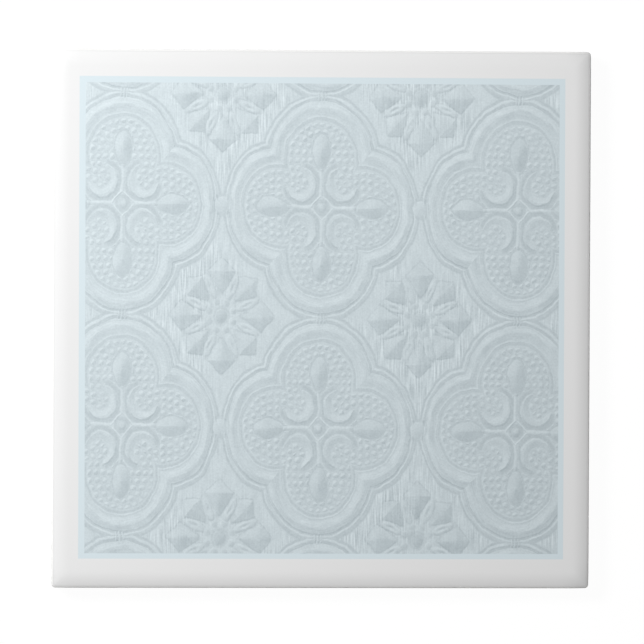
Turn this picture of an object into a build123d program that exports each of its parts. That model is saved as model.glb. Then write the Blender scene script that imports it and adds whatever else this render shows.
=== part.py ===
from build123d import *
import os

# A square pressed and fired wall tile: one solid slab of ceramic.
# The glazed face looks up and rolls down to a cushion edge on all four sides.
# The back is keyed for adhesive with a grid of shallow drafted pockets inside a plain rim.
# Origin: centre of the back face. +Z is out of the glazed face, +Y is the top of the picture.

# Overall size of the fired tile, in millimetres
TILE_WIDTH = 108.0
TILE_LENGTH = 108.0
TILE_THICKNESS = 5.5
CORNER_RADIUS = 0.75

# Cushion edge: where the face starts to roll down, how far it falls, and the small arris radius,
# which stays below the corner radius
CUSHION_WIDTH = 3.4
CUSHION_DROP = 0.55
ARRIS_RADIUS = 0.5

# Keyed back: plain rim, ribs that stand between the pockets, and the pockets themselves.
# The pocket size is the one to aim at: it is stretched a little to fill the space inside the rim.
RIM_WIDTH = 4.6
RIB_WIDTH = 2.2
POCKET_SIZE_WANTED = 14.5
POCKET_DEPTH = 0.7
POCKET_DRAFT_DEGREES = 25.0
POCKET_CORNER_RADIUS = 1.6
BACK_CHAMFER = 0.6

# A face is a side wall if its normal rises less than this
LEVEL_TOLERANCE = 1e-6


def cushion_radius():
    """Radius of the arc that leaves the face level and falls CUSHION_DROP over CUSHION_WIDTH."""
    return (CUSHION_WIDTH**2 + CUSHION_DROP**2) / (2 * CUSHION_DROP)


def outline():
    """Plan outline of the tile, with its small corner radius."""
    return RectangleRounded(TILE_WIDTH, TILE_LENGTH, CORNER_RADIUS)


def cushioned_block():
    """A larger block whose rounded top is the tile's face, carried on past the tile's sides.

    Its edges are cylinders and its corners spheres of the cushion's radius, so the tile's corners
    dip a little lower than the middles of its sides, as they do on a real one.
    """
    radius = cushion_radius()
    overhang = 2 * (radius - CUSHION_WIDTH)
    height = 2 * radius
    block = Pos(0, 0, TILE_THICKNESS - height / 2) * Box(
        TILE_WIDTH + overhang, TILE_LENGTH + overhang, height
    )
    block = fillet(block.edges().filter_by(Axis.Z), radius)
    return fillet(block.faces().sort_by(Axis.Z)[-1].edges(), radius)


def arris_edges(slab):
    """The closed loop of edges where the vertical sides meet the cushioned face."""
    sides = slab.faces().filter_by(lambda face: abs(face.normal_at().Z) < LEVEL_TOLERANCE)
    edges = [edge for side in sides for edge in side.edges()]
    return [edge for edge in edges if edge.center().Z > TILE_THICKNESS / 2]


def slab_body():
    """The slab with its cushioned face, soft arris and chamfered back edge, before the back is keyed."""
    prism = extrude(outline(), TILE_THICKNESS)
    slab = prism & cushioned_block()
    slab = fillet(arris_edges(slab), ARRIS_RADIUS)
    return chamfer(slab.faces().sort_by(Axis.Z)[0].edges(), BACK_CHAMFER)


def pocket_layout(tile_side):
    """How many pockets fit along one side, and the size that fills the space inside the rim."""
    span = tile_side - 2 * RIM_WIDTH
    count = max(1, round((span + RIB_WIDTH) / (POCKET_SIZE_WANTED + RIB_WIDTH)))
    return count, (span - (count - 1) * RIB_WIDTH) / count


def back_pockets():
    """The grid of drafted pockets that the press leaves in the back, as cutting solids."""
    count_x, size_x = pocket_layout(TILE_WIDTH)
    count_y, size_y = pocket_layout(TILE_LENGTH)
    mouth = RectangleRounded(size_x, size_y, POCKET_CORNER_RADIUS)
    pocket = extrude(mouth, POCKET_DEPTH, taper=POCKET_DRAFT_DEGREES)
    grid = GridLocations(size_x + RIB_WIDTH, size_y + RIB_WIDTH, count_x, count_y)
    return [place * pocket for place in grid]


def tile():
    """The whole tile."""
    return slab_body() - back_pockets()


os.makedirs("parts", exist_ok=True)
export_step(tile(), "parts/tile.step")
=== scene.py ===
import logging
import math
from dataclasses import dataclass, field
from enum import Enum
from functools import partial, reduce
from typing import Callable, ClassVar, NamedTuple, Sequence, Union

import bmesh
import bpy
import numpy as np
from mathutils import Matrix, Vector


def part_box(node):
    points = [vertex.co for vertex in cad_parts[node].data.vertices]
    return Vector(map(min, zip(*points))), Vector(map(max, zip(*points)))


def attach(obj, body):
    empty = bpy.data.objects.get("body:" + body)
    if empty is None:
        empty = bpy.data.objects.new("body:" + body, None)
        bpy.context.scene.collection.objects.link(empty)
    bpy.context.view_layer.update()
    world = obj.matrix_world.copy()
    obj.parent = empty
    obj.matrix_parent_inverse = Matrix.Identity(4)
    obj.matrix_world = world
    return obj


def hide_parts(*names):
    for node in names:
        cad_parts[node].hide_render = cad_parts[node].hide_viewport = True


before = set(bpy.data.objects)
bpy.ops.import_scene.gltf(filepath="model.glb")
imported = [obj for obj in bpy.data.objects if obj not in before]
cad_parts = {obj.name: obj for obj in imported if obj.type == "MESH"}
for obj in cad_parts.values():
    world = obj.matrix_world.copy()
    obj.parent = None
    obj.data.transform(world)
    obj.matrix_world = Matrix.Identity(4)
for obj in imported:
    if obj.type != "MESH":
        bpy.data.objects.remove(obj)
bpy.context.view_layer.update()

MM = 0.001
QUARTER_TURN = math.pi / 2
DIAGONAL = math.sqrt(0.5)
HALF_CELL = 0.5
LOG = logging.getLogger("decorative_tile")

Pair = tuple[float, float]
Triple = tuple[float, float, float]
Colour = Triple
Value = Union["Signal", float]


class Cloud(NamedTuple):
    """Smooth random blotches: their number to a unit, and the number and strength of finer layers."""

    scale: float
    detail: float = 2.0
    roughness: float = 0.5


def arithmetic(operation: str, swapped: bool = False) -> Callable[["Signal", Value], "Signal"]:
    """Makes a method of Signal for an arithmetic sign.

    Args:
        operation: What its Math node does.
        swapped: Whether the signal is the node's second value.

    Returns:
        The method.
    """

    def method(self: "Signal", other: Value) -> "Signal":
        """The result of the signal and another value."""
        return self.board.math(operation, *((other, self) if swapped else (self, other)))

    return method


class Signal:
    """A number or colour that changes over the surface. Arithmetic on it adds Math nodes to its board."""

    __add__, __radd__ = arithmetic("ADD"), arithmetic("ADD", swapped=True)
    __sub__, __rsub__ = arithmetic("SUBTRACT"), arithmetic("SUBTRACT", swapped=True)
    __mul__, __rmul__ = arithmetic("MULTIPLY"), arithmetic("MULTIPLY", swapped=True)
    __truediv__, __rtruediv__ = arithmetic("DIVIDE"), arithmetic("DIVIDE", swapped=True)

    def __init__(self, board: "Board", socket: bpy.types.NodeSocket) -> None:
        """Wraps a node's output.

        Args:
            board: The board that the node is on.
            socket: The node's output.
        """
        self.board = board
        self.socket = socket

    def __abs__(self) -> "Signal":
        """Its size without its sign."""
        return self.board.math("ABSOLUTE", self)

    def nearest(self) -> "Signal":
        """The nearest whole number."""
        return self.board.math("ROUND", self)

    def squared(self) -> "Signal":
        """Its square."""
        return self.board.math("MULTIPLY", self, self)

    def root(self) -> "Signal":
        """Its square root."""
        return self.board.math("SQRT", self)


class Board:
    """A node tree that is being wired."""

    node_spacing: ClassVar[int] = 180
    nodes_in_column: ClassVar[int] = 8

    def __init__(self, tree: bpy.types.NodeTree) -> None:
        """Starts on a tree.

        Args:
            tree: The material's node tree or a node group.
        """
        self.tree = tree
        self.placed = 0

    @classmethod
    def cleared(cls, owner: Union[bpy.types.Material, bpy.types.World]) -> "Board":
        """Empties a material's or a world's node tree.

        Args:
            owner: The material or world.

        Returns:
            Its board.
        """
        owner.use_nodes = True
        owner.node_tree.nodes.clear()
        return cls(owner.node_tree)

    def add(self, kind: str, **settings: object) -> bpy.types.Node:
        """Adds a node.

        Args:
            kind: The node's type name.
            **settings: Properties to set on it.

        Returns:
            The new node.
        """
        node = self.tree.nodes.new(kind)
        for name, value in settings.items():
            setattr(node, name, value)
        column, row = divmod(self.placed, self.nodes_in_column)
        node.location = (self.node_spacing * column, -self.node_spacing * row)
        self.placed += 1
        return node

    def feed(self, socket: bpy.types.NodeSocket, value: object) -> None:
        """Links a signal to an input, or sets the input's own value.

        Args:
            socket: The input.
            value: A signal, number or tuple.
        """
        if isinstance(value, Signal):
            self.tree.links.new(value.socket, socket)
        else:
            socket.default_value = value

    def result(
        self, kind: str, given: dict[Union[int, str], object], output: Union[int, str] = 0, **settings: object
    ) -> Signal:
        """Adds a node and feeds it.

        Args:
            kind: The node's type name.
            given: Values of its inputs, by their names or numbers.
            output: Name or number of the output that counts.
            **settings: Properties to set on it.

        Returns:
            The node's result.
        """
        node = self.add(kind, **settings)
        for name, value in given.items():
            self.feed(node.inputs[name], value)
        return Signal(self, node.outputs[output])

    def math(self, operation: str, *values: Value, clamp: bool = False) -> Signal:
        """Result of a Math node, which is kept between 0 and 1 on request."""
        given = dict(enumerate(values))
        return self.result("ShaderNodeMath", given, operation=operation, use_clamp=clamp)

    def vector(self, across: Value, up: Value, out: Value = 0.0) -> Signal:
        """A vector from its three parts."""
        return self.result("ShaderNodeCombineXYZ", {"X": across, "Y": up, "Z": out})

    def parts(self, vector: Signal) -> tuple[Signal, ...]:
        """The three parts of a vector."""
        node = self.result("ShaderNodeSeparateXYZ", {0: vector}).socket.node
        return tuple(Signal(self, socket) for socket in node.outputs)

    def noise(self, vector: Signal, cloud: Cloud) -> Signal:
        """Random values of roughly -0.5 to 0.5 along a vector."""
        names = ("Scale", "Detail", "Roughness")
        return self.result("ShaderNodeTexNoise", {"Vector": vector, **dict(zip(names, cloud))}) - 0.5

    def tint(self, colour: Union[Signal, Colour], strength: Value) -> Signal:
        """A colour made lighter or darker by a factor."""
        return self.result("ShaderNodeVectorMath", {0: colour, "Scale": strength}, operation="SCALE")

    def mix(self, share: Value, first: Union[Signal, Colour], second: Union[Signal, Colour]) -> Signal:
        """A colour between two others.

        Args:
            share: 0 for the first colour, 1 for the second.
            first: The first colour.
            second: The second colour.

        Returns:
            The mixed colour.
        """
        node = self.add("ShaderNodeMix", data_type="RGBA")
        sockets = {socket.identifier: socket for socket in node.inputs}
        self.feed(sockets["Factor_Float"], share)
        for name, colour in (("A_Color", first), ("B_Color", second)):
            self.feed(sockets[name], colour if isinstance(colour, Signal) else (*colour, 1.0))
        made = {socket.identifier: socket for socket in node.outputs}
        return Signal(self, made["Result_Color"])

    def place_on_object(self) -> Signal:
        """Position on the object, in metres, as the patterns read it."""
        return Signal(self, self.add("ShaderNodeTexCoord").outputs["Object"])

    def blend(self, outlet: str, share: Signal, first: bpy.types.Node, second: bpy.types.Node) -> None:
        """Ends the board with a mix of two shaders.

        Args:
            outlet: Type name of the output node.
            share: 0 for the first shader, 1 for the second.
            first: The first shader's node.
            second: The second shader's node.
        """
        shaders = (Signal(self, node.outputs[0]) for node in (first, second))
        both = self.result("ShaderNodeMixShader", dict(enumerate((share, *shaders))))
        self.feed(self.add(outlet).inputs[0], both)


def calculate(operation: str, first: Signal, *others: Value, clamp: bool = False) -> Signal:
    """Result of a Math node on the board of its first value."""
    return first.board.math(operation, first, *others, clamp=clamp)


def larger(*values: Value) -> Signal:
    """The largest of several values, the first of which is a signal."""
    return reduce(partial(calculate, "MAXIMUM"), values)


def smaller(*values: Value) -> Signal:
    """The smallest of several values, the first of which is a signal."""
    return reduce(partial(calculate, "MINIMUM"), values)


def distance(across: Signal, up: Value) -> Signal:
    """Length of a step that goes this far across and this far up."""
    step = across.board.vector(across, up)
    return step.board.result("ShaderNodeVectorMath", {0: step}, "Value", operation="LENGTH")


def dome(offset: Signal) -> Signal:
    """A rounded bump: 1 where the offset is 0, down to 0 at offsets of -1 and 1."""
    return calculate("MULTIPLY_ADD", offset, -1.0 * offset, 1.0, clamp=True)


def ring(value: Signal, band: Pair) -> Signal:
    """A rounded bump round a place, given with its half width."""
    place, half_width = band
    return dome((value - place) / half_width)


def ramp(value: Signal, start: float, end: float, low: float = 0.0, high: float = 1.0) -> Signal:
    """A smooth step.

    Args:
        value: What the step follows.
        start: Where it leaves low.
        end: Where it reaches high.
        low: Its value before start.
        high: Its value after end.

    Returns:
        The step's value.
    """
    given = dict(enumerate((value, start, end, low, high)))
    return value.board.result("ShaderNodeMapRange", given, interpolation_type="SMOOTHSTEP")


class Effect:
    """A shader node group with named inputs and outputs, built once and placed with its own values."""

    title: ClassVar[str] = "effect"
    takes: ClassVar[dict[str, object]] = {}
    gives: ClassVar[tuple[str, ...]] = ()

    def wire(self, board: Board, given: dict[str, Signal]) -> dict[str, Signal]:
        """Wires the group's inside.

        Args:
            board: The group's board.
            given: The group's inputs by name.

        Returns:
            The group's outputs by name.
        """
        raise NotImplementedError

    def group(self) -> bpy.types.NodeTree:
        """Makes the node group at its first use.

        Returns:
            The node group.
        """
        made = bpy.data.node_groups.get(self.title)
        if made:
            return made
        tree = bpy.data.node_groups.new(self.title, "ShaderNodeTree")
        for name, default in self.takes.items():
            kind = "NodeSocketVector" if isinstance(default, tuple) else "NodeSocketFloat"
            socket = tree.interface.new_socket(name, in_out="INPUT", socket_type=kind)
            socket.default_value = default
        for name in self.gives:
            tree.interface.new_socket(name, in_out="OUTPUT", socket_type="NodeSocketFloat")
        board = Board(tree)
        inlet = board.add("NodeGroupInput")
        results = self.wire(board, {name: Signal(board, inlet.outputs[name]) for name in self.takes})
        outlet = board.add("NodeGroupOutput")
        for name in self.gives:
            board.feed(outlet.inputs[name], results[name])
        return tree

    def place(self, board: Board, **values: object) -> dict[str, Signal]:
        """Places the group on a board.

        Args:
            board: Where it goes.
            **values: Its inputs, with _ for a space in their names.

        Returns:
            Its outputs by name.
        """
        node = board.add("ShaderNodeGroup", node_tree=self.group(), label=self.title)
        for name, value in values.items():
            board.feed(node.inputs[name.replace("_", " ")], value)
        return {name: Signal(board, node.outputs[name]) for name in self.gives}


@dataclass
class Pressing:
    """A pressed shape on the sheet: its height, and how dark the creases at its edge are."""

    height: Signal
    crease: Signal

    def over(self, other: "Pressing") -> "Pressing":
        """This shape laid over another one."""
        return Pressing(larger(self.height, other.height), larger(self.crease, other.crease))

    def kept(self, share: Signal) -> "Pressing":
        """This shape where the share is 1, and nothing where it is 0."""
        return Pressing(self.height * share, self.crease * share)


@dataclass(frozen=True)
class Moulding:
    """Moulding round a quatrefoil, by distance outward from its lobes' centres. In cell widths."""

    lobe_centre: float = 0.2155
    field_edge: float = 0.168
    groove: Pair = (0.181, -0.003)
    lip_inner: Pair = (0.1925, 0.008)
    lip_outer: Pair = (0.1990, 0.007)
    crest: Pair = (0.235, 0.0200)
    shoulder: Pair = (0.261, 0.0110)
    valley: Pair = (0.267, -0.001)
    ridge: Pair = (0.280, 0.010)
    foot: Pair = (0.297, 0.001)
    ground: Pair = (0.314, 0.005)
    crease_half_width: float = 0.0080
    crease_depths: Triple = (0.95, 1.1, 1.1)
    side_pinch: float = 0.019
    pinch_span: Pair = (0.38, 0.49)

    def pressing(self, reach: Signal) -> Pressing:
        """The moulding's section, with dark creases in its groove, its valley and at its foot.

        Args:
            reach: Distance outward from the nearest lobe's centre.

        Returns:
            Its height and creases.
        """
        stops = (
            (self.field_edge, 0.0), self.groove, self.lip_inner, self.lip_outer, self.crest,
            self.shoulder, self.valley, self.ridge, self.foot, self.ground,
        )
        height: Value = 0.0
        for (start, low), (end, high) in zip(stops, stops[1:]):
            height = ramp(reach, start, end, 0.0, high - low) + height
        lows = (self.groove[0], self.valley[0], self.foot[0])
        creases = (
            dome((reach - low) / self.crease_half_width) * depth
            for low, depth in zip(lows, self.crease_depths)
        )
        return Pressing(height, larger(*creases))


@dataclass(frozen=True)
class Stipple:
    """Rows of small punched dots that follow each lobe. In cell widths."""

    outer_row: float = 0.160
    row_pitch: float = 0.0348
    dot_pitch: float = 0.0363
    radius: float = 0.0150
    dot_height: float = 0.0175
    dot_shade: float = 0.52
    shade_width: float = 0.5
    stagger: float = 0.5
    margin: float = 0.006

    def pressing(self, out: Signal, across: Signal, from_lobe: Signal, inside: Signal) -> Pressing:
        """The dots.

        Args:
            out: Distance outward along the lobe's axis, from the lobe's centre.
            across: Distance to the side of the axis.
            from_lobe: Distance from the lobe's centre.
            inside: 1 where there are dots, 0 where there are none.

        Returns:
            Their height and the shade round them.
        """
        row = ((from_lobe - self.outer_row) / self.row_pitch).nearest()
        row_radius = calculate("MULTIPLY_ADD", row, self.row_pitch, self.outer_row)
        turn = calculate("ARCTAN2", across, out) / self.dot_pitch
        place = calculate("MULTIPLY_ADD", row_radius, turn, row * self.stagger)
        side = (place - place.nearest()) * self.dot_pitch
        span = distance(side, from_lobe - row_radius) / self.radius
        shade = dome((span - 1.0) / self.shade_width) * self.dot_shade
        return Pressing(dome(span) * self.dot_height, shade).kept(inside)


@dataclass(frozen=True)
class Bud:
    """Keeled bud on each arm of a quatrefoil, pointed inward and rounder outward. In cell widths."""

    middle: float = 0.2515
    half_length: Pair = (0.085, 0.083)
    half_width: float = 0.047
    crown_height: float = 0.043
    body_shade: float = 0.58
    keel: float = 0.30
    taper: float = 0.45
    outline: float = 0.24
    body_edge: float = 0.05
    bare_ground: Pair = (-0.05, -0.30)

    def crown(self, out: Signal, across: Signal) -> Signal:
        """The bud's shape.

        Args:
            out: Distance out along the arm.
            across: Distance across it.

        Returns:
            1 on its crown, 0 at its outline, below 0 off it.
        """
        inward = larger((self.middle - out) / self.half_length[0], 0.0)
        outward = larger((out - self.middle) / self.half_length[1], 0.0)
        aside = across / self.half_width
        sides = aside * self.keel + aside.squared() * (1.0 - self.keel)
        point = inward * self.taper + inward.squared() * (1.0 - self.taper)
        return 1.0 - sides - point - outward.squared()

    def pressing(self, crown: Signal) -> Pressing:
        """The bud, from its shape."""
        shade = larger(
            dome(crown / self.outline), ramp(crown, 0.0, self.body_edge, 0.0, self.body_shade)
        )
        return Pressing(larger(crown, 0.0) * self.crown_height, shade)


@dataclass(frozen=True)
class Scrolls:
    """Curled scrolls between the arms, with stems, ring and boss between them. In cell widths."""

    centre: float = 0.102
    outer_radius: float = 0.083
    outer_slope: float = 0.010
    hollow_radius: float = 0.0445
    hollow_shift: float = 0.018
    inner_slope: float = 0.032
    opening: Pair = (0.75, 0.40)
    scroll_height: float = 0.016
    edge_reach: float = 0.0875
    edge_half_width: float = 0.0160
    edge_shade: float = 1.25
    rim_shade: float = 0.10
    stem_half_width: float = 0.0135
    stem_span: Pair = (0.055, 0.189)
    strap_height: float = 0.010
    ring_reach: float = 0.057
    ring_half_width: float = 0.009
    strap_light: float = 0.25
    strap_fade: Pair = (0.006, 0.02)
    boss_radius: float = 0.029
    boss_height: float = 0.013
    boss_core: Triple = (0.15, 0.7, 1.05)
    boss_moat: Pair = (1.1, 0.009)
    rim_edge: float = 0.2
    clearance: Pair = (0.15, 0.004)
    bare_middle: Pair = (0.085, 0.100)
    bare_strap: float = 0.3
    least_distance: float = 0.001

    def cover(self, out: Signal, across: Signal) -> tuple[Signal, ...]:
        """The scrolls' and straps' own measures.

        Args:
            out: Distance out along the arm.
            across: Distance across it.

        Returns:
            The scroll's shape, from 0 at its edges to 1 at its rim; the dark of the groove round
            it; 1 where it keeps dots off; and the rounding of stem and ring.
        """
        right, above = out - self.centre, across - self.centre
        far = distance(right, above)
        shift = self.hollow_shift * DIAGONAL
        near = distance(right - shift, above - shift)
        inner = (near - self.hollow_radius) / self.inner_slope
        rim = smaller((self.outer_radius - far) / self.outer_slope, inner, 1.0)
        turn = (right + above) * DIAGONAL / larger(far, self.least_distance)
        curl = ramp(turn, *self.opening)
        groove = dome((far - self.edge_reach) / self.edge_half_width) * self.edge_shade * curl
        edge = self.edge_reach + self.edge_half_width
        within, beyond = self.clearance
        covered = ramp(inner, 0.0, within) * ramp(far, edge + beyond, edge) * curl
        (start, end), (rise, fall) = self.stem_span, self.strap_fade
        stem = dome(across / self.stem_half_width) * ramp(out, end, end - fall)
        around = ring(out + across, (self.ring_reach, self.ring_half_width))
        strap = larger(stem * ramp(out, start - rise, start), around)
        return larger(rim, 0.0) * curl, groove * (1.0 - strap), covered, strap

    def pressing(self, middle: Signal, rim: Signal, groove: Signal, strap: Signal) -> Pressing:
        """Scrolls, stems, ring and boss.

        Args:
            middle: Distance from the quatrefoil's middle.
            rim: The scroll's shape.
            groove: The dark of the groove round it.
            strap: The rounding of stem and ring.

        Returns:
            Their height and creases.
        """
        radius = self.boss_radius
        moat_place, moat_half_width = self.boss_moat
        boss = dome(middle / radius) * self.boss_height
        moat = dome((middle - radius * moat_place) / moat_half_width)
        start, full, end = (radius * share for share in self.boss_core)
        core = ramp(middle, start, full) * ramp(middle, end, radius)
        rim_shade = ramp(rim, 0.0, self.rim_edge, 0.0, self.rim_shade)
        height = larger(rim * self.scroll_height, strap * self.strap_height, boss)
        return Pressing(height, larger(groove, moat, core, rim_shade))


@dataclass(frozen=True)
class Rosette:
    """Eight-leaved rosette with pods and a ring of beads. In cell widths."""

    leaf: Triple = (0.088, 0.2030, 0.269)
    leaf_half_width: float = 0.072
    leaf_height: float = 0.038
    petal: Triple = (0.085, 0.190, 0.246)
    petal_half_width: float = 0.061
    petal_height: float = 0.027
    tip_curve: float = 0.92
    facet_shade: float = 0.54
    swell: float = 1.85
    ridge_softness: float = 0.10
    facet_edge: float = 0.05
    outlines: Pair = (0.13, 0.14)
    outline_shade: float = 1.05
    leaf_clearance: float = 0.1
    midrib: Pair = (0.0135, 0.0075)
    midrib_span: Pair = (0.20, 0.12)
    midrib_shade: float = 0.5
    crease_start: Pair = (0.07, 0.10)
    smooth_ground: Pair = (0.002, 0.3)
    pod_middle: float = 0.1414
    pod_half_length: float = 0.0605
    pod_half_width: float = 0.020
    pod_angle: float = math.radians(23.0)
    pod_height: float = 0.008
    pod_ridge: Pair = (0.55, 0.5)
    pod_outline: Pair = (1.05, 0.26)
    pod_outline_shade: float = 0.6
    pod_slit: float = 0.45
    pod_core: float = 0.65
    bead_core: float = 0.75
    bead_place: Pair = (0.0626, 0.0250)
    bead_radius: float = 0.018
    bead_height: float = 0.005
    boss_radius: float = 0.034
    boss_height: float = 0.010
    boss_core: float = 1.1
    boss_edge: Pair = (1.05, 0.8)
    boss_moat: Pair = (1.1, 0.35)
    boss_moat_shade: float = 0.9

    def facets(
        self, out: Signal, across: Signal, stations: Sequence[float], half_width: float
    ) -> Signal:
        """A pointed leaf with four facets and softened ridges, 0 at its outline.

        Args:
            out: Distance from the rosette's middle along the leaf.
            across: Distance to the side of the leaf.
            stations: Where along it the leaf starts, is widest and ends.
            half_width: Half its greatest width.

        Returns:
            The share of its height.
        """
        base, widest, tip = stations
        outer = larger((out - widest) / (tip - widest), 0.0)
        outer = calculate("POWER", outer, self.tip_curve)
        inner = (widest - out) / (widest - base)
        slope = (outer + inner + distance(outer - inner, self.ridge_softness)) * 0.5
        side = distance(across / half_width, self.ridge_softness)
        return 1.0 - side - slope

    def pressing(self, out: Signal, across: Signal) -> Pressing:
        """Leaves, petals, pods, beads and boss.

        Args:
            out: Distance from the rosette's middle along the nearer axis.
            across: Distance to the side of that axis.

        Returns:
            Their height and creases.
        """
        leaf = self.facets(out, across, self.leaf, self.leaf_half_width)
        petal = self.facets(
            (out + across) * DIAGONAL, (out - across) * DIAGONAL, self.petal, self.petal_half_width
        )
        cosine, sine = math.cos(self.pod_angle), math.sin(self.pod_angle)
        along = (out * cosine + across * sine - self.pod_middle) / self.pod_half_length
        aside = (across * cosine - out * sine) / self.pod_half_width
        pod = distance(along, aside)
        bead_out, bead_across = self.bead_place
        bead = distance(out - bead_out, across - bead_across) / self.bead_radius
        boss = distance(out, across) / self.boss_radius
        height = larger(
            *(
                shape * (self.swell - shape * (self.swell - 1.0)) * top
                for shape, top in ((leaf, self.leaf_height), (petal, self.petal_height))
            ),
            ring(pod, self.pod_ridge) * self.pod_height,
            dome(bead) * self.bead_height,
            dome(boss) * self.boss_height,
            0.0,
        )
        leaf_outline, petal_outline = self.outlines
        clear_of_leaf = ramp(leaf, self.leaf_clearance, 0.0)
        beyond_pods = ramp(out, *self.crease_start)
        midrib = ring(across, self.midrib) * ramp(out, *self.midrib_span)
        crease = larger(
            dome(leaf / leaf_outline) * beyond_pods * self.outline_shade,
            midrib * beyond_pods * self.midrib_shade,
            dome(petal / petal_outline) * clear_of_leaf * self.outline_shade,
            ring(pod, self.pod_outline) * self.pod_outline_shade,
            dome(pod / self.pod_slit) * self.pod_core,
            dome(bead) * self.bead_core,
            ring(boss, self.boss_moat) * self.boss_moat_shade,
            ramp(boss, *self.boss_edge, 0.0, self.boss_core),
            ramp(larger(leaf, petal), 0.0, self.facet_edge, 0.0, self.facet_shade),
        )
        return Pressing(height, crease)


@dataclass(frozen=True)
class Fastenings:
    """Knobs where quatrefoils touch side by side, and ribbed straps where one stands on another."""

    knob_radius: float = 0.039
    knob_height: float = 0.014
    knob_moat: Pair = (1.15, 0.25)
    knob_moat_shade: float = 0.8
    knob_clearance: float = 1.3
    strap_half_size: Pair = (0.034, 0.041)
    strap_rib: float = 0.0175
    strap_height: float = 0.016
    strap_shade: float = 1.4

    def pressing(self, knob: Signal, right: Signal, above: Signal) -> Pressing:
        """Knob and strap.

        Args:
            knob: Distance from the knob's middle, over its radius.
            right: Distance to the right of the quatrefoil's middle.
            above: Distance above it.

        Returns:
            Their height and creases.
        """
        wide, tall = self.strap_half_size
        patch = dome(right / wide) * dome((above - HALF_CELL) / tall)
        rib = right / self.strap_rib
        rib = dome((rib - rib.nearest()) / 0.5)
        height = larger(dome(knob).root() * self.knob_height, patch * rib * self.strap_height)
        moat = ring(knob, self.knob_moat) * self.knob_moat_shade
        return Pressing(height, larger(moat, patch * (1.0 - rib) * self.strap_shade))


@dataclass(frozen=True)
class PressedSheet:
    """The pressed-tin ornament that the picture shows: a lattice of quatrefoils with rosettes between."""

    cell_width: float = 39.7 * MM
    cell_height: float = 44.44 * MM
    middle: Pair = (-0.20 * MM, 22.44 * MM)
    row_turn: float = math.radians(-0.88)
    column_lean: float = math.radians(-0.35)
    moulding: Moulding = Moulding()
    stipple: Stipple = Stipple()
    bud: Bud = Bud()
    scrolls: Scrolls = Scrolls()
    rosette: Rosette = Rosette()
    fastenings: Fastenings = Fastenings()
    light_from: float = math.radians(122.0)

    def cells(self, across: Signal, up: Signal) -> tuple[Signal, Signal]:
        """Turns a place on the tile into columns and rows of the lattice.

        Args:
            across: Metres to the right of the tile's middle.
            up: Metres above it.

        Returns:
            Columns to the right and rows up, from the upper quatrefoil in the middle.
        """
        column_x = self.cell_width * math.cos(self.row_turn)
        column_y = self.cell_width * math.sin(self.row_turn)
        row_x = -self.cell_height * math.sin(self.column_lean)
        row_y = self.cell_height * math.cos(self.column_lean)
        area = column_x * row_y - column_y * row_x
        right, above = across - self.middle[0], up - self.middle[1]
        columns = calculate("MULTIPLY_ADD", right, row_y / area, above * (-row_x / area))
        rows = calculate("MULTIPLY_ADD", above, column_x / area, right * (-column_y / area))
        return columns, rows


class SheetEffect(Effect):
    """Base of the effects that draw the pressed sheet."""

    def __init__(self, sheet: PressedSheet) -> None:
        """Keeps the sheet's sizes."""
        self.sheet = sheet


class TinHeight(SheetEffect):
    """Height and creases of the pressed sheet at a place in its lattice."""

    title = "Pressed sheet height"
    takes = {"Columns": 0.0, "Rows": 0.0}
    gives = ("Height", "Crease", "Ground", "Reach")

    def wire(self, board: Board, given: dict[str, Signal]) -> dict[str, Signal]:
        """Wires the ornament, folded so that one eighth of a cell is drawn once.

        Args:
            board: The group's board.
            given: The group's inputs by name.

        Returns:
            The group's outputs by name.
        """
        sheet, moulding = self.sheet, self.sheet.moulding
        right = abs(given["Columns"] - given["Columns"].nearest())
        above = abs(given["Rows"] - given["Rows"].nearest())
        out, across = larger(right, above), smaller(right, above)
        lobe_out = out - moulding.lobe_centre
        from_lobe = distance(lobe_out, across)
        middle = distance(out, across)
        reach = smaller(from_lobe, middle)
        reach = reach + ramp(right, *moulding.pinch_span, 0.0, moulding.side_pinch)
        knob = distance(right - HALF_CELL, above) / sheet.fastenings.knob_radius
        whole = moulding.pressing(reach)
        whole.crease = whole.crease * ramp(knob, 1.0, sheet.fastenings.knob_clearance)
        crown = sheet.bud.crown(out, across)
        rim, groove, covered, strap = sheet.scrolls.cover(out, across)
        bare = ramp(reach, moulding.field_edge, moulding.field_edge - sheet.stipple.margin)
        bare = bare * ramp(crown, *sheet.bud.bare_ground) * (1.0 - covered)
        bare = bare * ramp(middle, *sheet.scrolls.bare_middle)
        bare = bare * ramp(strap, sheet.scrolls.bare_strap, 0.0)
        dots = sheet.stipple.pressing(lobe_out, across, from_lobe, bare)
        whole = Pressing(whole.height + dots.height, larger(whole.crease, dots.crease))
        whole = whole.over(sheet.bud.pressing(crown))
        whole = whole.over(sheet.scrolls.pressing(middle, rim, groove, strap))
        rose_right, rose_above = HALF_CELL - right, HALF_CELL - above
        rose = sheet.rosette.pressing(larger(rose_right, rose_above), smaller(rose_right, rose_above))
        low, share = sheet.rosette.smooth_ground
        ground = ramp(reach, moulding.foot[0], moulding.ground[0])
        ground = ground * ramp(rose.height, low, 0.0, share, 1.0)
        rose = Pressing(rose.height + moulding.ground[1], rose.crease)
        whole = whole.over(rose)
        whole = whole.over(sheet.fastenings.pressing(knob, right, above))
        whole.crease = whole.crease - strap * sheet.scrolls.strap_light
        return dict(zip(self.gives, (whole.height, whole.crease, ground, reach)))


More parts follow.
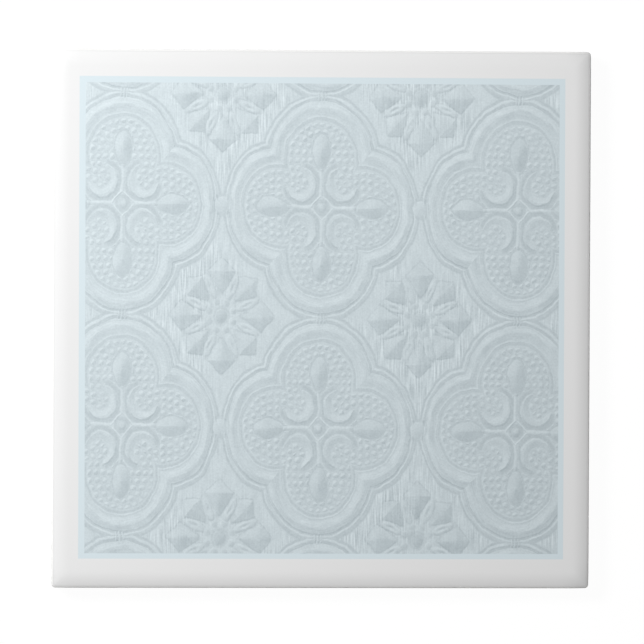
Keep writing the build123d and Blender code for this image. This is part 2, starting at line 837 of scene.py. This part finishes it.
class LitTin(SheetEffect):
    """Light and shade on the pressed sheet, as the picture shows it lit from its upper left."""

    title = "Lit pressed sheet"
    takes = {"Columns": 0.0, "Rows": 0.0, "Step": 0.0035, "Knee": 0.34}
    gives = ("Light", "Crease", "Ground", "Reach")

    def wire(self, board: Board, given: dict[str, Signal]) -> dict[str, Signal]:
        """Wires three looks at the height, and the light on the slope between them.

        Args:
            board: The group's board.
            given: The group's inputs by name.

        Returns:
            The group's outputs by name.
        """
        step = given["Step"]
        rise = step * (self.sheet.cell_width / self.sheet.cell_height)
        columns, rows = given["Columns"] - step * 0.5, given["Rows"] - rise * 0.5
        sheet = TinHeight(self.sheet)
        here = sheet.place(board, Columns=columns, Rows=rows)
        right = sheet.place(board, Columns=columns + step, Rows=rows)["Height"]
        above = sheet.place(board, Columns=columns, Rows=rows + rise)["Height"]
        toward = (-math.cos(self.sheet.light_from), -math.sin(self.sheet.light_from))
        slopes = (right - here["Height"]) * toward[0] + (above - here["Height"]) * toward[1]
        facing = slopes / step
        light = facing / (1.0 + (facing / given["Knee"]).squared()).root()
        return {**here, "Light": light}


class GlazeSkin(Effect):
    """Fired glaze: its slow ripple, and where it is a touch duller."""

    title = "Glaze skin"
    takes = {
        "Vector": (0.0, 0.0, 0.0), "Ripple Depth": 0.01 * MM, "Roughness": 0.1, "Roughness Spread": 0.03
    }
    gives = ("Height", "Roughness")
    slow_ripple = Cloud(90.0, 1.0, 0.4)
    fine_ripple = Cloud(700.0, 2.0, 0.5)
    fine_share = 0.12
    dull_patches = Cloud(160.0, 3.0, 0.6)

    def wire(self, board: Board, given: dict[str, Signal]) -> dict[str, Signal]:
        """Wires a slow ripple with a finer one over it.

        Args:
            board: The group's board.
            given: The group's inputs by name.

        Returns:
            The group's outputs by name.
        """
        slow, fine, dull = (
            board.noise(given["Vector"], cloud)
            for cloud in (self.slow_ripple, self.fine_ripple, self.dull_patches)
        )
        height = (slow + fine * self.fine_share) * given["Ripple Depth"]
        return {"Height": height, "Roughness": given["Roughness"] + dull * given["Roughness Spread"]}


class FiredClay(Effect):
    """Bare fired body: cloudy tone, fine grain and pinholes, with painted shade in the pinholes."""

    title = "Fired clay"
    takes = {"Vector": (0.0, 0.0, 0.0), "Grain Depth": 0.04 * MM, "Cloud": 0.06}
    gives = ("Shade", "Height", "Pits")
    tone = Cloud(45.0, 3.0, 0.55)
    grain = Cloud(2600.0, 3.0, 0.65)
    grain_shade = 0.06
    pit_scale = 520.0
    pit_edge = (0.16, 0.06)
    pit_patches = Cloud(210.0, 2.0, 0.5)
    pit_patch_edge = (0.02, 0.10)
    # Painted shade: how much darker the pinholes are drawn.
    pit_shade = 0.35
    pit_depth = 1.5

    def wire(self, board: Board, given: dict[str, Signal]) -> dict[str, Signal]:
        """Wires clouds, grain and scattered pinholes.

        Args:
            board: The group's board.
            given: The group's inputs by name.

        Returns:
            The group's outputs by name.
        """
        tone = board.noise(given["Vector"], self.tone)
        grain = board.noise(given["Vector"], self.grain)
        spread = {"Vector": given["Vector"], "Scale": self.pit_scale}
        holes = board.result("ShaderNodeTexVoronoi", spread, "Distance", feature="F1")
        pits = ramp(holes, *self.pit_edge)
        patches = board.noise(given["Vector"], self.pit_patches)
        pits = pits * ramp(patches, *self.pit_patch_edge)
        # The pinholes are painted darker: painted shade in them, beside their bump.
        shade = 1.0 + tone * given["Cloud"] + grain * self.grain_shade - pits * self.pit_shade
        height = (grain - pits * self.pit_depth) * given["Grain Depth"]
        return {"Shade": shade, "Height": height, "Pits": pits}


class Finish:
    """Base of the tile's finishes: a material whose colour, roughness and bump come from its nodes."""

    name: ClassVar[str] = "finish"
    index_of_refraction: ClassVar[float] = 1.5

    def surface(self, board: Board) -> dict[str, object]:
        """Wires the patterns.

        Args:
            board: The material's board.

        Returns:
            Values for the shader's inputs, and the bump's Height.
        """
        raise NotImplementedError

    def material(self) -> bpy.types.Material:
        """Makes the material.

        Returns:
            The material.
        """
        made = bpy.data.materials.new(self.name)
        board = Board.cleared(made)
        values = self.surface(board)
        relief = {"Strength": 1.0, "Distance": 1.0, "Height": values.pop("Height")}
        values["Normal"] = board.result("ShaderNodeBump", relief)
        values["IOR"] = self.index_of_refraction
        shader = board.result("ShaderNodeBsdfPrincipled", values)
        board.feed(board.add("ShaderNodeOutputMaterial").inputs[0], shader)
        return made


@dataclass(frozen=True)
class PrintArea:
    """A rectangle of the printed picture, in metres on the tile."""

    middle: Pair
    half_size: Pair
    softness: float = 0.09 * MM

    def mask(self, across: Signal, up: Signal) -> Signal:
        """1 inside the rectangle and 0 outside it, with a slightly soft edge."""
        sides = (
            half - abs(place - middle)
            for half, place, middle in zip(self.half_size, (across, up), self.middle)
        )
        return ramp(smaller(*sides), -self.softness, self.softness)


@dataclass(frozen=True)
class PrintedGlaze(Finish):
    """White glossy glaze, with the pale blue strip and the picture of pressed tin printed on it; painted
    shade darkens it towards its edges and the picture towards its lower right.
    """

    name = "printed_glaze"
    half_width: float = 54.0 * MM
    white: Colour = (0.84, 0.84, 0.84)
    strip_colour: Colour = (0.690, 0.789, 0.833)
    tin_dark: Colour = (0.2815, 0.3470, 0.3790)
    tin_light: Colour = (0.9425, 1.0410, 1.0790)
    strip: PrintArea = PrintArea((0.07 * MM, 0.21 * MM), (48.68 * MM, 48.29 * MM))
    panel: PrintArea = PrintArea((0.13 * MM, 0.13 * MM), (47.50 * MM, 47.13 * MM))
    sheet: PressedSheet = PressedSheet()
    light_contrast: float = 0.270
    crease_depth: float = 0.103
    ground_lift: float = 0.03
    drift: float = 0.5 * MM
    drift_cloud: Cloud = Cloud(28.0, 0.0)
    wobble: float = 0.95 * MM
    wobble_cloud: Cloud = Cloud(300.0, 2.0, 0.6)
    unevenness: float = 2.2
    hatch: float = 0.58
    hatch_scale: Pair = (3600.0, 240.0)
    line_cloud: Cloud = Cloud(1.0, 0.0)
    hatch_patches: Cloud = Cloud(75.0, 1.0)
    hatch_edge: Pair = (-0.10, 0.12)
    hatch_least: float = 0.2
    streak: float = 0.14
    streak_scale: Pair = (190.0, 420.0)
    streak_edges: tuple[Pair, ...] = ((0.185, 0.215), (0.300, 0.270))
    grain: float = 0.23
    grain_cloud: Cloud = Cloud(3000.0, 1.0, 0.6)
    blotches: float = 0.15
    blotch_cloud: Cloud = Cloud(250.0, 3.0, 0.75)
    # Painted shade: how much darker the picture is made towards its lower right, on top of the lamp's own
    # falloff.
    painted_lower_right_shade: float = 0.55
    darkest_tone: float = 0.5
    swap_height: float = 0.3
    roughness: float = 0.10
    # Painted shade: the glaze colour is darkened towards the tile's edge, strongly on the arris and slightly
    # over the cushion.
    painted_shade_reach: Pair = (0.75 * MM, 3.4 * MM)
    painted_shade_depth: Pair = (0.20, 0.035)

    def picture(self, board: Board, place: Signal, across: Signal, up: Signal) -> Signal:
        """Colour of the printed tin.

        Args:
            board: The material's board.
            place: Position on the object.
            across: Its part to the right.
            up: Its part upward.

        Returns:
            The colour.
        """
        swapped = board.vector(up, across, self.swap_height)
        shift_right, shift_up = (
            board.noise(where, self.drift_cloud) * self.drift
            + board.noise(where, self.wobble_cloud) * self.wobble
            for where in (place, swapped)
        )
        columns, rows = self.sheet.cells(across + shift_right, up + shift_up)
        tin = LitTin(self.sheet).place(board, Columns=columns, Rows=rows)
        uneven = 1.0 + board.noise(place, self.wobble_cloud) * self.unevenness
        tone = 1.0 + tin["Light"] * uneven * self.light_contrast - tin["Crease"] * self.crease_depth
        thin, long = self.hatch_scale
        lines = board.noise(board.vector(across * thin, up * long), self.line_cloud)
        patches = board.noise(place, self.hatch_patches)
        patchy = ramp(patches, *self.hatch_edge, self.hatch_least, 1.0)
        tone = tone + (lines * patchy * self.hatch + self.ground_lift) * tin["Ground"]
        around, along = self.streak_scale
        where = board.vector(tin["Reach"] * around, across * along, up * along)
        strokes = board.noise(where, self.line_cloud)
        inner, outer = (ramp(tin["Reach"], *edge) for edge in self.streak_edges)
        tone = tone + strokes * (inner * outer) * self.streak
        speck = board.noise(place, self.grain_cloud) * self.grain
        cloud = board.noise(swapped, self.blotch_cloud) * self.blotches
        # Painted shade: the picture is made darker towards its lower right, away from the key lamp.
        tone = tone + speck + cloud - (across - up) * self.painted_lower_right_shade
        return board.mix(tone - self.darkest_tone, self.tin_dark, self.tin_light)

    def surface(self, board: Board) -> dict[str, object]:
        """Wires glaze, strip, picture and the painted shade towards the edges.

        Args:
            board: The material's board.

        Returns:
            Values for the shader's inputs, and the bump's Height.
        """
        place = board.place_on_object()
        across, up, _ = board.parts(place)
        colour = board.mix(self.strip.mask(across, up), self.white, self.strip_colour)
        picture = self.picture(board, place, across, up)
        colour = board.mix(self.panel.mask(across, up), colour, picture)
        # Painted shade: darkens the colour towards the tile's edge, most on the arris and less over the
        # cushion.
        from_middle = larger(abs(across), abs(up))
        painted_edge_shade = sum(
            ramp(from_middle, self.half_width - reach, self.half_width) * depth
            for reach, depth in zip(self.painted_shade_reach, self.painted_shade_depth)
        )
        colour = board.tint(colour, 1.0 - painted_edge_shade)
        skin = GlazeSkin().place(board, Vector=place, Roughness=self.roughness)
        return {"Base Color": colour, **skin}


@dataclass(frozen=True)
class TileSide(Finish):
    """Straight sides: glaze runs unevenly over the upper part and leaves the fired body bare below."""

    name = "glaze_over_body"
    glaze: Colour = (0.84, 0.84, 0.83)
    body: Colour = (0.66, 0.62, 0.55)
    glaze_line: float = 2.1 * MM
    run: Cloud = Cloud(120.0, 3.0, 0.6)
    unevenness: float = 1.5 * MM
    glaze_edge: float = 0.06 * MM
    lip: Pair = (0.16 * MM, 0.22 * MM)
    glaze_thickness: float = 0.05 * MM
    lip_height: float = 0.03 * MM
    body_roughness: float = 0.78
    roughness: float = 0.13
    roughness_spread: float = 0.06

    def surface(self, board: Board) -> dict[str, object]:
        """Wires glaze, its run edge and the body.

        Args:
            board: The material's board.

        Returns:
            Values for the shader's inputs, and the bump's Height.
        """
        place = board.place_on_object()
        _, _, out = board.parts(place)
        level = out - self.glaze_line + board.noise(place, self.run) * self.unevenness
        glazed = ramp(level, -self.glaze_edge, self.glaze_edge)
        lip = ring(level, self.lip)
        clay = FiredClay().place(board, Vector=place)
        skin = GlazeSkin().place(
            board, Vector=place, Roughness=self.roughness, Roughness_Spread=self.roughness_spread
        )
        colour = board.mix(glazed, board.tint(self.body, clay["Shade"]), self.glaze)
        height = clay["Height"] * (1.0 - glazed) + skin["Height"] * glazed
        height = height + glazed * self.glaze_thickness + lip * self.lip_height
        roughness = self.body_roughness * (1.0 - glazed) + skin["Roughness"] * glazed
        return {"Base Color": colour, "Roughness": roughness, "Height": height}


@dataclass(frozen=True)
class BareBack(Finish):
    """Unglazed back: fired body with painted shade in its pockets, rubbed in patches where it bears."""

    name = "bare_fired_back"
    index_of_refraction = 1.45
    body: Colour = (0.74, 0.70, 0.63)
    # Painted shade: the pocket floors are darkened by this factor.
    pocket_shade: float = 0.90
    pocket_depth: float = 0.7 * MM
    rubbed_patches: Cloud = Cloud(70.0, 4.0, 0.6)
    rubbed_edge: Pair = (-0.05, 0.18)
    rub_depth: float = 0.1 * MM
    rub_shade: float = 0.10
    rub_polish: float = 0.16
    cloudiness: float = 0.12
    roughness: float = 0.86
    pit_roughness: float = 0.08

    def surface(self, board: Board) -> dict[str, object]:
        """Wires the body, paler and smoother in the rubbed patches, with painted shade on the pocket floors.

        Args:
            board: The material's board.

        Returns:
            Values for the shader's inputs, and the bump's Height.
        """
        place = board.place_on_object()
        _, _, out = board.parts(place)
        clay = FiredClay().place(board, Vector=place, Cloud=self.cloudiness)
        # Painted shade: darker towards the pocket floors, as shade falls in the recesses.
        painted_pocket_shade = ramp(out, 0.0, self.pocket_depth, 1.0, self.pocket_shade)
        rubbed = ramp(board.noise(place, self.rubbed_patches), *self.rubbed_edge)
        worn = rubbed * ramp(out, self.rub_depth, 0.0)
        colour = board.tint(self.body, clay["Shade"] * painted_pocket_shade * (1.0 + worn * self.rub_shade))
        roughness = self.roughness - worn * self.rub_polish + clay["Pits"] * self.pit_roughness
        return {"Base Color": colour, "Roughness": roughness, "Height": clay["Height"]}


class Face(Enum):
    """Parts of the tile's surface, in the order of its material slots."""

    GLAZED = 0
    SIDE = 1
    BACK = 2


@dataclass(frozen=True)
class BakeChart:
    """Layout of the map for baking, in shares of its width."""

    margin: float = 0.005
    face_size: float = 0.845
    column_left: float = 0.858
    column_size: float = 0.137
    strip_foot: float = 0.860
    strip_width: float = 0.030
    strip_gap: float = 0.004


@dataclass
class TileBody:
    """The tile: level glazed face, cushion edge, soft arris, straight sides and keyed back. In metres."""

    half_width: float
    thickness: float
    corner_radius: float = 0.75 * MM
    cushion_width: float = 3.4 * MM
    cushion_drop: float = 0.55 * MM
    arris_radius: float = 0.5 * MM
    back_chamfer: float = 0.6 * MM
    back_roundness: float = 0.5
    chamfer_steps: int = 4
    pockets: int = 6
    rim_width: float = 4.6 * MM
    rib_width: float = 2.2 * MM
    pocket_depth: float = 0.7 * MM
    pocket_draft: float = math.radians(25.0)
    pocket_corner_radius: float = 1.6 * MM
    lip: float = 0.12 * MM
    mouth_lip: tuple[Pair, ...] = ((1.0, 0.0), (0.15, 0.2), (-0.35, 1.0))
    floor_lip: tuple[Pair, ...] = ((0.3, 1.0), (-0.5, 0.2), (-1.8, 0.0))
    steps_in_pocket: int = 8
    corner_steps: int = 4
    cushion_steps: int = 8
    arris_steps: int = 6
    side_steps: int = 4
    weld_distance: float = 0.001 * MM
    sharp_angle: float = math.radians(38.0)
    chart: BakeChart = BakeChart()
    mesh: bmesh.types.BMesh = field(default_factory=bmesh.new)

    @property
    def cushion_radius(self) -> float:
        """Radius of the arc that falls by cushion_drop over cushion_width."""
        return (self.cushion_width**2 + self.cushion_drop**2) / (2.0 * self.cushion_drop)

    @property
    def flat(self) -> float:
        """Half the width of the level part of the face."""
        return self.half_width - self.cushion_width

    @property
    def steps(self) -> int:
        """Number of steps along a side of the face, which is also that along the pockets."""
        return self.pockets * self.steps_in_pocket

    def quarter_turns(self, side: np.ndarray) -> np.ndarray:
        """Repeats the right side's points on the other three sides."""
        turn = np.array([[0.0, 1.0], [-1.0, 0.0]])
        return np.concatenate([side @ np.linalg.matrix_power(turn, n) for n in range(4)])

    @staticmethod
    def at_height(plan: np.ndarray, height: Union[float, np.ndarray]) -> np.ndarray:
        """Points in space over points in plan."""
        return np.column_stack([plan, np.broadcast_to(height, len(plan))])

    def outline(self) -> tuple[np.ndarray, np.ndarray]:
        """The tile's outline in plan.

        Returns:
            Points round the tile, and the outward direction at each.
        """
        straight = self.half_width - self.corner_radius
        level = np.linspace(-self.flat, self.flat, self.steps + 1)
        ups = np.concatenate([[-straight], level, [straight]])
        points = [np.stack([np.full_like(ups, self.half_width), ups], axis=1)]
        outward = [np.tile([1.0, 0.0], (len(ups), 1))]
        angles = np.linspace(0.0, QUARTER_TURN, self.corner_steps + 1)[1:-1]
        round_corner = np.stack([np.cos(angles), np.sin(angles)], axis=1)
        points.append(straight + self.corner_radius * round_corner)
        outward.append(round_corner)
        return self.quarter_turns(np.concatenate(points)), self.quarter_turns(np.concatenate(outward))

    def cushion_height(self, places: np.ndarray) -> np.ndarray:
        """Height of the face over places in plan."""
        fall = (np.maximum(np.abs(places) - self.flat, 0.0) ** 2).sum(axis=1)
        return self.thickness - self.cushion_radius + np.sqrt(self.cushion_radius**2 - fall)

    def face_rings(self, points: np.ndarray, outward: np.ndarray) -> list[np.ndarray]:
        """Rings of the cushion edge and the arris, from the level face to the top of the sides.

        Args:
            points: The outline.
            outward: Its outward directions.

        Returns:
            The rings, each with as many points as the outline.
        """
        drop = self.cushion_radius - self.arris_radius
        ball = points - self.arris_radius * outward
        over = np.sign(ball) * np.maximum(np.abs(ball) - self.flat, 0.0)
        rise = np.sqrt(drop**2 - (over**2).sum(axis=1))
        upward = self.at_height(over, rise) / drop
        level = self.at_height(outward, 0.0)
        middle = self.at_height(ball, self.thickness - self.cushion_radius + rise)
        contact = middle + self.arris_radius * upward
        target = np.clip(points, -self.flat, self.flat)
        rings = []
        for share in np.linspace(0.0, 1.0, self.cushion_steps + 1)[:-1]:
            plan = target + share * (contact[:, :2] - target)
            rings.append(self.at_height(plan, self.cushion_height(plan)))
        angle = np.arccos(np.clip((upward * level).sum(axis=1), -1.0, 1.0))[:, None]
        for share in np.linspace(0.0, 1.0, self.arris_steps + 1):
            turned = np.sin((1 - share) * angle) * upward + np.sin(share * angle) * level
            rings.append(middle + self.arris_radius * (turned / np.sin(angle)))
        return rings

    def side_rings(self, points: np.ndarray, outward: np.ndarray, top: np.ndarray) -> list[np.ndarray]:
        """Rings down the straight sides and round the back edge.

        Args:
            points: The outline.
            outward: Its outward directions.
            top: The ring at the top of the sides.

        Returns:
            The rings below it, the last one on the back.
        """
        rings = []
        for share in np.linspace(0.0, 1.0, self.side_steps + 1)[1:]:
            height = top[:, 2] + share * (self.back_chamfer - top[:, 2])
            rings.append(self.at_height(points, height))
        flat, rounded = 1 - self.back_roundness, self.back_roundness
        for share in np.linspace(0.0, 1.0, self.chamfer_steps + 1)[1:]:
            turn = share * QUARTER_TURN
            inset = flat * share + rounded * (1 - math.cos(turn))
            height = flat * (1 - share) + rounded * (1 - math.sin(turn))
            plan = points - self.back_chamfer * inset * outward
            rings.append(self.at_height(plan, self.back_chamfer * height))
        return rings

    def join(self, rings: Sequence[np.ndarray], part: Face) -> None:
        """Joins rings with faces.

        Args:
            rings: Closed rings with the same number of points.
            part: Which part of the surface they are.
        """
        rows = [[self.mesh.verts.new(point) for point in ring] for ring in rings]
        for near, far in zip(rows, rows[1:]):
            for i in range(len(near)):
                j = (i + 1) % len(near)
                self.mesh.faces.new((near[i], far[i], far[j], near[j])).material_index = part.value

    def level_face(self) -> None:
        """Lays the level middle of the glazed face."""
        marks = np.linspace(-self.flat, self.flat, self.steps + 1)
        grid = [[self.mesh.verts.new((x, y, self.thickness)) for x in marks] for y in marks]
        for low, high in zip(grid, grid[1:]):
            for i in range(self.steps):
                corners = (low[i], low[i + 1], high[i + 1], high[i])
                self.mesh.faces.new(corners).material_index = Face.GLAZED.value

    def pocket_ring(self, half: float, radius: float, height: float) -> np.ndarray:
        """A square ring with rounded corners.

        Args:
            half: Half its width.
            radius: Radius of its corners.
            height: Its height.

        Returns:
            Its points, anticlockwise from the middle of the right side.
        """
        arc = self.steps_in_pocket // 2
        angles = np.linspace(0.0, QUARTER_TURN, arc + 1)
        corner = half - radius + radius * np.stack([np.cos(angles), np.sin(angles)], axis=1)
        run = np.linspace(-(half - radius), half - radius, self.steps_in_pocket - arc + 1)[1:-1]
        side = np.stack([np.full_like(run, half), run], axis=1)
        plan = self.quarter_turns(np.concatenate([side, corner]))
        return self.at_height(plan, height)

    def cell_ring(self, half: float) -> np.ndarray:
        """The square outline of one pocket's share of the back.

        Args:
            half: Half its width.

        Returns:
            Its points, which match those of pocket_ring.
        """
        arc = self.steps_in_pocket // 2
        marks = np.linspace(-half, half, self.steps_in_pocket + 1)
        side = np.stack([np.full_like(marks, half), marks], axis=1)
        start = arc // 2 + 1
        plan = np.roll(self.quarter_turns(side[:-1]), -start, axis=0)
        return self.at_height(plan, 0.0)

    def keyed_back(self, last: np.ndarray) -> None:
        """Lays the rim, the ribs and the pockets of the back.

        Args:
            last: The ring of the back edge.
        """
        span = 2.0 * (self.half_width - self.rim_width)
        mouth = (span - (self.pockets - 1) * self.rib_width) / self.pockets
        pitch = mouth + self.rib_width
        block = pitch * self.pockets / 2.0
        points, _ = self.outline()
        rim = np.clip(points, -self.flat, self.flat) * (block / self.flat)
        self.join([last, self.at_height(rim, 0.0)], Face.BACK)
        fall = self.pocket_depth * math.tan(self.pocket_draft)
        stages = [(self.lip * out, self.lip * down) for out, down in self.mouth_lip]
        stages += [
            (-fall + self.lip * out, self.pocket_depth - self.lip * up) for out, up in self.floor_lip
        ]
        rings = [self.cell_ring(pitch / 2.0)]
        for grow, height in stages:
            radius = self.pocket_corner_radius + grow
            rings.append(self.pocket_ring(mouth / 2.0 + grow, radius, height))
        for column in range(self.pockets):
            for row in range(self.pockets):
                right, up = (pitch * (number + 0.5) - block for number in (column, row))
                shift = np.array([right, up, 0.0])
                self.join([ring + shift for ring in rings], Face.BACK)
                floor = [self.mesh.verts.new(point + shift) for point in rings[-1]]
                self.mesh.faces.new(floor).material_index = Face.BACK.value

    def lay_out(self, mesh: bpy.types.Mesh) -> None:
        """Gives the mesh a map for baking: the face large, the back in two halves, the sides as strips.

        Args:
            mesh: The tile's mesh.
        """
        layer = mesh.uv_layers.new(name="OFBake")
        layer.active = layer.active_render = True
        for face in mesh.polygons:
            for loop in face.loop_indices:
                point = mesh.vertices[mesh.loops[loop].vertex_index].co
                layer.uv[loop].vector = self.map_place(Face(face.material_index), face, point)

    def map_place(self, part: Face, face: bpy.types.MeshPolygon, point: Vector) -> Pair:
        """Where a point of the surface goes on the map.

        Args:
            part: The part of the surface that it is on.
            face: The face that it is on, whose side of the tile counts.
            point: The point.

        Returns:
            Its place on the map.
        """
        width, chart = 2.0 * self.half_width, self.chart
        if part is Face.GLAZED:
            right, up = (chart.margin + chart.face_size * (v / width + 0.5) for v in point[:2])
            return right, up
        if part is Face.BACK:
            scale, left = chart.column_size / self.half_width, face.center.x < 0.0
            up = chart.margin + scale * (point.y + self.half_width)
            lift = 0.0 if left else scale * width + chart.margin
            return chart.column_left + scale * (-point.x if left else point.x), up + lift
        quarter = int(round(math.atan2(face.normal.y, face.normal.x) / QUARTER_TURN)) % 4
        turned = Matrix.Rotation(-quarter * QUARTER_TURN, 3, "Z") @ point
        inset = self.half_width - turned.x
        down = self.thickness - point.z + (inset if point.z < self.thickness / 2 else -inset)
        strip = chart.strip_foot + quarter * (chart.strip_width + chart.strip_gap)
        return (
            chart.margin + chart.face_size * (turned.y / width + 0.5),
            strip + chart.strip_width * down / (self.thickness + self.back_chamfer),
        )

    def build(self) -> bpy.types.Object:
        """Makes the tile.

        Returns:
            The tile's object.
        """
        points, outward = self.outline()
        rings = self.face_rings(points, outward)
        self.level_face()
        self.join(rings[: self.cushion_steps + 1], Face.GLAZED)
        below = self.side_rings(points, outward, rings[-1])
        self.join(rings[self.cushion_steps :] + below, Face.SIDE)
        self.keyed_back(below[-1])
        gap = self.weld_distance
        bmesh.ops.remove_doubles(self.mesh, verts=self.mesh.verts[:], dist=gap)
        bmesh.ops.dissolve_degenerate(self.mesh, edges=self.mesh.edges[:], dist=gap)
        bmesh.ops.recalc_face_normals(self.mesh, faces=self.mesh.faces[:])
        for face in self.mesh.faces:
            face.smooth = True
        mesh = bpy.data.meshes.new("glazed_tile")
        self.mesh.to_mesh(mesh)
        self.mesh.free()
        mesh.set_sharp_from_angle(angle=self.sharp_angle)
        self.lay_out(mesh)
        piece = bpy.data.objects.new("glazed_tile", mesh)
        bpy.context.scene.collection.objects.link(piece)
        return piece

    def dress(self, piece: bpy.types.Object, finishes: Sequence[Finish]) -> None:
        """Gives the tile its finishes, in the order of Face."""
        for finish in finishes:
            piece.data.materials.append(finish.material())


@dataclass
class Studio:
    """Camera, key lamp, even surroundings and a white floor. In metres."""

    camera_distance: float = 0.600
    camera_tilt: Pair = (math.radians(-1.727), math.radians(0.562))
    camera_roll: float = math.radians(0.242)
    camera_aim: Triple = (0.04 * MM, -0.52 * MM, 5.5 * MM)
    camera_lens: float = 167.27
    camera_sensor: float = 36.0
    camera_range: Pair = (0.01, 50.0)
    lamp_place: Triple = (-0.345, 0.212, 0.405)
    lamp_size: float = 0.16
    lamp_power: float = 3.62
    fill_place: Triple = (0.520, -0.300, 0.035)
    fill_size: float = 0.06
    fill_power: float = 0.55
    ambient: float = 0.12
    floor_size: float = 4.0
    floor_gap: float = 0.02 * MM
    floor_colour: Colour = (0.86, 0.86, 0.86)
    floor_glow: float = 1.02
    floor_shadow_share: float = 0.05

    def camera(self) -> bpy.types.Object:
        """Places the camera over the tile, as the photograph was taken.

        Returns:
            The camera.
        """
        tilt = math.hypot(*self.camera_tilt)
        heading = math.atan2(self.camera_tilt[1], self.camera_tilt[0])
        level = math.sin(tilt)
        back = Vector((math.cos(heading) * level, math.sin(heading) * level, math.cos(tilt)))
        up = (Vector((0.0, 1.0, 0.0)) - back * back.y).normalized()
        facing = Matrix((up.cross(back), up, back)).transposed()
        facing = facing @ Matrix.Rotation(self.camera_roll, 3, "Z")
        data = bpy.data.cameras.new("camera")
        data.lens, data.sensor_width = self.camera_lens, self.camera_sensor
        data.clip_start, data.clip_end = self.camera_range
        made = bpy.data.objects.new("camera", data)
        place = Vector(self.camera_aim) + back * self.camera_distance
        made.matrix_world = Matrix.Translation(place) @ facing.to_4x4()
        bpy.context.scene.collection.objects.link(made)
        bpy.context.scene.camera = made
        return made

    def lamp(self, name: str, place: Triple, size: float, power: float) -> bpy.types.Object:
        """Hangs a soft square lamp that faces the tile.

        Args:
            name: The lamp's name.
            place: Where it hangs.
            size: Its width.
            power: Its power in watts.

        Returns:
            The lamp.
        """
        data = bpy.data.lights.new(name, "AREA")
        data.shape, data.size, data.energy = "SQUARE", size, power
        made = bpy.data.objects.new(name, data)
        made.location = place
        made.rotation_euler = Vector(place).to_track_quat("Z", "Y").to_euler()
        made.visible_camera = False
        bpy.context.scene.collection.objects.link(made)
        return made

    def surroundings(self) -> None:
        """Lights the scene evenly, and shows white to the camera and in reflections."""
        world = bpy.data.worlds.new("surroundings")
        board = Board.cleared(world)
        rays = board.add("ShaderNodeLightPath")
        seen, mirrored = (
            Signal(board, rays.outputs[name]) for name in ("Is Camera Ray", "Is Glossy Ray")
        )
        seen = larger(seen, mirrored)
        dim, white = (board.add("ShaderNodeBackground") for _ in range(2))
        for node, strength in ((dim, self.ambient), (white, 1.0)):
            node.inputs["Color"].default_value = (1.0, 1.0, 1.0, 1.0)
            node.inputs["Strength"].default_value = strength
        board.blend("ShaderNodeOutputWorld", seen, dim, white)
        bpy.context.scene.world = world

    def floor(self) -> bpy.types.Object:
        """Lays a white floor that keeps a faint shadow of the tile.

        Returns:
            The floor.
        """
        half, depth = self.floor_size / 2.0, -self.floor_gap
        mesh = bpy.data.meshes.new("floor")
        plan = ((-half, -half), (half, -half), (half, half), (-half, half))
        mesh.from_pydata([(*corner, depth) for corner in plan], [], [(0, 1, 2, 3)])
        made = bpy.data.objects.new("floor", mesh)
        bpy.context.scene.collection.objects.link(made)
        paper = bpy.data.materials.new("white_paper")
        board = Board.cleared(paper)
        seen = Signal(board, board.add("ShaderNodeLightPath").outputs["Is Camera Ray"])
        lit = board.add("ShaderNodeBsdfDiffuse")
        lit.inputs["Color"].default_value = (*self.floor_colour, 1.0)
        glow = board.add("ShaderNodeEmission")
        glow.inputs["Strength"].default_value = self.floor_glow
        share = seen * (1.0 - self.floor_shadow_share)
        board.blend("ShaderNodeOutputMaterial", share, lit, glow)
        mesh.materials.append(paper)
        return made

    def build(self) -> None:
        """Sets up everything round the tile."""
        self.camera()
        self.lamp("key_lamp", self.lamp_place, self.lamp_size, self.lamp_power)
        fill = self.lamp("fill_lamp", self.fill_place, self.fill_size, self.fill_power)
        fill.visible_glossy = False
        self.surroundings()
        self.floor()
        bpy.context.scene.view_settings.view_transform = "Standard"


def main() -> None:
    """Builds the studio and the tile, and reports each."""
    logging.basicConfig(level=logging.INFO, format="%(name)s: %(message)s")
    Studio().build()
    LOG.info("studio ready")
    lowest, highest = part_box("tile")
    body = TileBody(half_width=(highest[0] - lowest[0]) / 2.0, thickness=highest[2] - lowest[2])
    piece = body.build()
    body.dress(piece, (PrintedGlaze(), TileSide(), BareBack()))
    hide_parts("tile")
    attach(piece, "root")
    LOG.info("%s: %d points, %d faces", piece.name, len(piece.data.vertices), len(piece.data.polygons))


if __name__ == "__main__":
    main()
